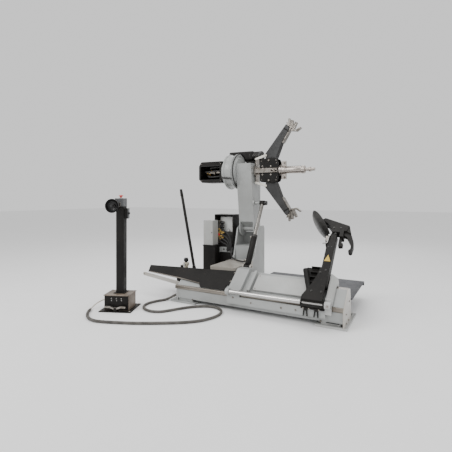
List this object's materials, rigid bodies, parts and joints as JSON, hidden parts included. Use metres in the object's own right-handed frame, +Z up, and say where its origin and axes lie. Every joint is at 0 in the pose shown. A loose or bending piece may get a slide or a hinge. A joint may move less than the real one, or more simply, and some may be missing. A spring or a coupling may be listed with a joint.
{
  "type": "truck tyre changer",
  "caption": "Heavy truck tyre changer: low bed with sliding tool carriage, tilting chuck arm with self-centring jaws, hydraulic unit and a separate pedestal control stand.",
  "frame": {"origin": "on the floor under the middle of the bed, at the underside of the floor bar that ties the wheel platform to the bed", "axes": "+X along the bed towards the tool arm end, +Y back from the bed towards the chuck column, +Z up"},
  "size_m": [2.4575, 2.2177, 2.127],
  "materials": {
    "grey_paint": "satin",
    "cream_paint": "satin",
    "black_paint": "satin",
    "dark_steel": "satin",
    "bright_steel": "satin",
    "worn_steel": "satin",
    "chrome": "polished",
    "black_plastic": "matte",
    "white_plastic": "gloss",
    "amber_plastic": "gloss",
    "red_plastic": "gloss",
    "rubber_hose": "matte",
    "cable_sleeve": "matte"
  },
  "bodies": {
    "frame": {"bed_beam": "grey_paint", "bed_end_plate_left": "grey_paint", "bed_end_plate_right": "cream_paint", "front_guide_bar": "worn_steel", "rear_guide_bar": "worn_steel", "foot_plate_left": "grey_paint", "foot_plate_right": "grey_paint", "base_bridge": "cream_paint", "column_base": "grey_paint", "arm_pivot_pin": "bright_steel", "cylinder_foot_pin": "bright_steel", "wheel_platform": "black_paint", "power_unit_cabinet": "black_paint", "power_unit_housing": "black_paint", "oil_tank": "white_plastic", "valve_block": "bright_steel", "electrical_box": "grey_paint", "lever_socket": "black_paint", "air_service_unit": "amber_plastic", "outrigger_rail": "cream_paint", "stand_base": "black_paint", "stand_post": "black_paint", "joystick_guard": "black_plastic", "control_conduit": "rubber_hose", "control_cable": "cable_sleeve"},
    "carriage": {"carriage_left_plate": "grey_paint", "carriage_right_plate": "grey_paint", "carriage_frame": "grey_paint", "carriage_cover": "grey_paint", "tool_guide_bar": "chrome", "slide_cover": "black_paint"},
    "saddle": {"tool_saddle": "black_paint"},
    "tool_arm": {"tool_bracket": "black_paint", "tool_post": "black_paint"},
    "head": {"tool_head": "black_paint", "hook_tool": "black_paint"},
    "disc": {"bead_disc": "dark_steel"},
    "lock": {"lock_lever": "chrome"},
    "chuck_arm": {"swing_arm": "grey_paint", "gearbox_case": "grey_paint", "distributor_cover": "black_paint", "drive_motor": "dark_steel", "spindle_bearing": "bright_steel"},
    "cylinder": {"lift_barrel": "black_paint"},
    "ram": {"lift_rod": "chrome"},
    "chuck": {"chuck_hub": "black_paint", "chuck_shaft": "bright_steel"},
    "yoke": {"crosshead": "bright_steel"},
    "upper_jaw": {"jaw_arm_upper": "dark_steel", "jaw_claw_upper": "bright_steel"},
    "lower_jaw": {"jaw_arm_lower": "dark_steel", "jaw_claw_lower": "bright_steel"},
    "upper_link": {"jaw_link_upper": "cream_paint"},
    "lower_link": {"jaw_link_lower": "cream_paint"},
    "lever": {"lever_bar": "black_paint"},
    "knob": {"regulator_knob": "black_plastic"},
    "stop_button": {"e_stop_button": "red_plastic"},
    "stick_gimbal": {"joystick_gimbal": "dark_steel"},
    "stick": {"joystick": "black_plastic"},
    "pedal": {"foot_pedal": "bright_steel"}
  },
  "joints": [
    {"name": "carriage_slide", "type": "slide", "parent": "frame", "child": "carriage", "axis": [1, 0, 0], "range_m": [-0.5, 0.08]},
    {"name": "tool_slide", "type": "slide", "parent": "carriage", "child": "saddle", "axis": [1, 0, 0], "range_m": [-0.5, 0]},
    {"name": "tool_tilt", "type": "hinge", "parent": "saddle", "child": "tool_arm", "pos_m": [0.63, -0.2, 0.207], "axis": [1, 0, 0], "range_deg": [0, 60]},
    {"name": "head_turn", "type": "hinge", "parent": "tool_arm", "child": "head", "pos_m": [0.692, 0.38042, 0.7577], "axis": [0, 0.7361, 0.6769], "range_deg": [0, 180]},
    {"name": "disc_spin", "type": "hinge", "parent": "head", "child": "disc", "pos_m": [0.54, 0.49083, 0.85923], "axis": [-0.766, -0.4732, -0.4351], "continuous": true},
    {"name": "lock_turn", "type": "hinge", "parent": "tool_arm", "child": "lock", "pos_m": [0.664, 0.32324, 0.76965], "axis": [0, 0.6769, -0.7361], "range_deg": [0, 35]},
    {"name": "chuck_lift", "type": "hinge", "parent": "frame", "child": "chuck_arm", "pos_m": [-0.495, 0.89, 0.75], "axis": [1, 0, 0], "range_deg": [0, 40]},
    {"name": "cylinder_swing", "type": "hinge", "parent": "frame", "child": "cylinder", "pos_m": [-0.27, 0.34, 0.36], "axis": [1, 0, 0], "range_deg": [-1, 10]},
    {"name": "ram_slide", "type": "slide", "parent": "cylinder", "child": "ram", "axis": [0, 0.5229, 0.8524], "range_m": [-0.23, 0.01]},
    {"name": "chuck_spin", "type": "hinge", "parent": "chuck_arm", "child": "chuck", "pos_m": [0, 0.85, 1.495], "axis": [1, 0, 0], "continuous": true},
    {"name": "jaw_close_upper", "type": "hinge", "parent": "chuck", "child": "upper_jaw", "pos_m": [-0.185, 0.85, 1.62], "axis": [0, 1, 0], "range_deg": [0, 30]},
    {"name": "jaw_close_lower", "type": "hinge", "parent": "chuck", "child": "lower_jaw", "pos_m": [-0.185, 0.85, 1.37], "axis": [0, -1, 0], "range_deg": [-2, 32]},
    {"name": "yoke_slide", "type": "slide", "parent": "chuck", "child": "yoke", "axis": [1, 0, 0], "range_m": [-0.002, 0.05]},
    {"name": "upper_link_swing", "type": "hinge", "parent": "upper_jaw", "child": "upper_link", "pos_m": [-0.232, 0.8, 1.685], "axis": [0, 1, 0], "range_deg": [-40, 2]},
    {"name": "lower_link_swing", "type": "hinge", "parent": "lower_jaw", "child": "lower_link", "pos_m": [-0.232, 0.8, 1.305], "axis": [0, -1, 0], "range_deg": [-40, 2]},
    {"name": "lever_lift", "type": "slide", "parent": "frame", "child": "lever", "axis": [-0.2011, 0, 0.9796], "range_m": [0, 0.3]},
    {"name": "regulator_turn", "type": "hinge", "parent": "frame", "child": "knob", "pos_m": [-1.06, 0.25, 0.36], "axis": [0, 0, 1], "range_deg": [0, 270]},
    {"name": "stop_push", "type": "slide", "parent": "frame", "child": "stop_button", "axis": [0, 0, -1], "range_m": [0, 0.005], "stiffness_N_per_m": 900},
    {"name": "stick_tilt", "type": "hinge", "parent": "frame", "child": "stick_gimbal", "pos_m": [-1.28297, -0.71612, 1.07], "axis": [0.9212, 0.3891, 0], "range_deg": [-15, 15], "stiffness_Nm_per_rad": 3},
    {"name": "stick_swing", "type": "hinge", "parent": "stick_gimbal", "child": "stick", "pos_m": [-1.28297, -0.71612, 1.07], "axis": [0, 0, 1], "range_deg": [-15, 15], "stiffness_Nm_per_rad": 3},
    {"name": "pedal_rock", "type": "hinge", "parent": "frame", "child": "pedal", "pos_m": [-1.22497, -0.74807, 0.034], "axis": [-0.3891, 0.9212, 0], "range_deg": [-8, 8], "stiffness_Nm_per_rad": 20}
  ],
  "couplings": [
    {"joint": "cylinder_swing", "follows": "chuck_lift", "ratio": 0.19873},
    {"joint": "ram_slide", "follows": "chuck_lift", "m_per_rad": -0.31318},
    {"joint": "jaw_close_lower", "follows": "jaw_close_upper", "ratio": 1},
    {"joint": "yoke_slide", "follows": "jaw_close_upper", "m_per_rad": 0.08429},
    {"joint": "upper_link_swing", "follows": "jaw_close_upper", "ratio": -1.2149},
    {"joint": "lower_link_swing", "follows": "jaw_close_upper", "ratio": -1.2149}
  ]
}
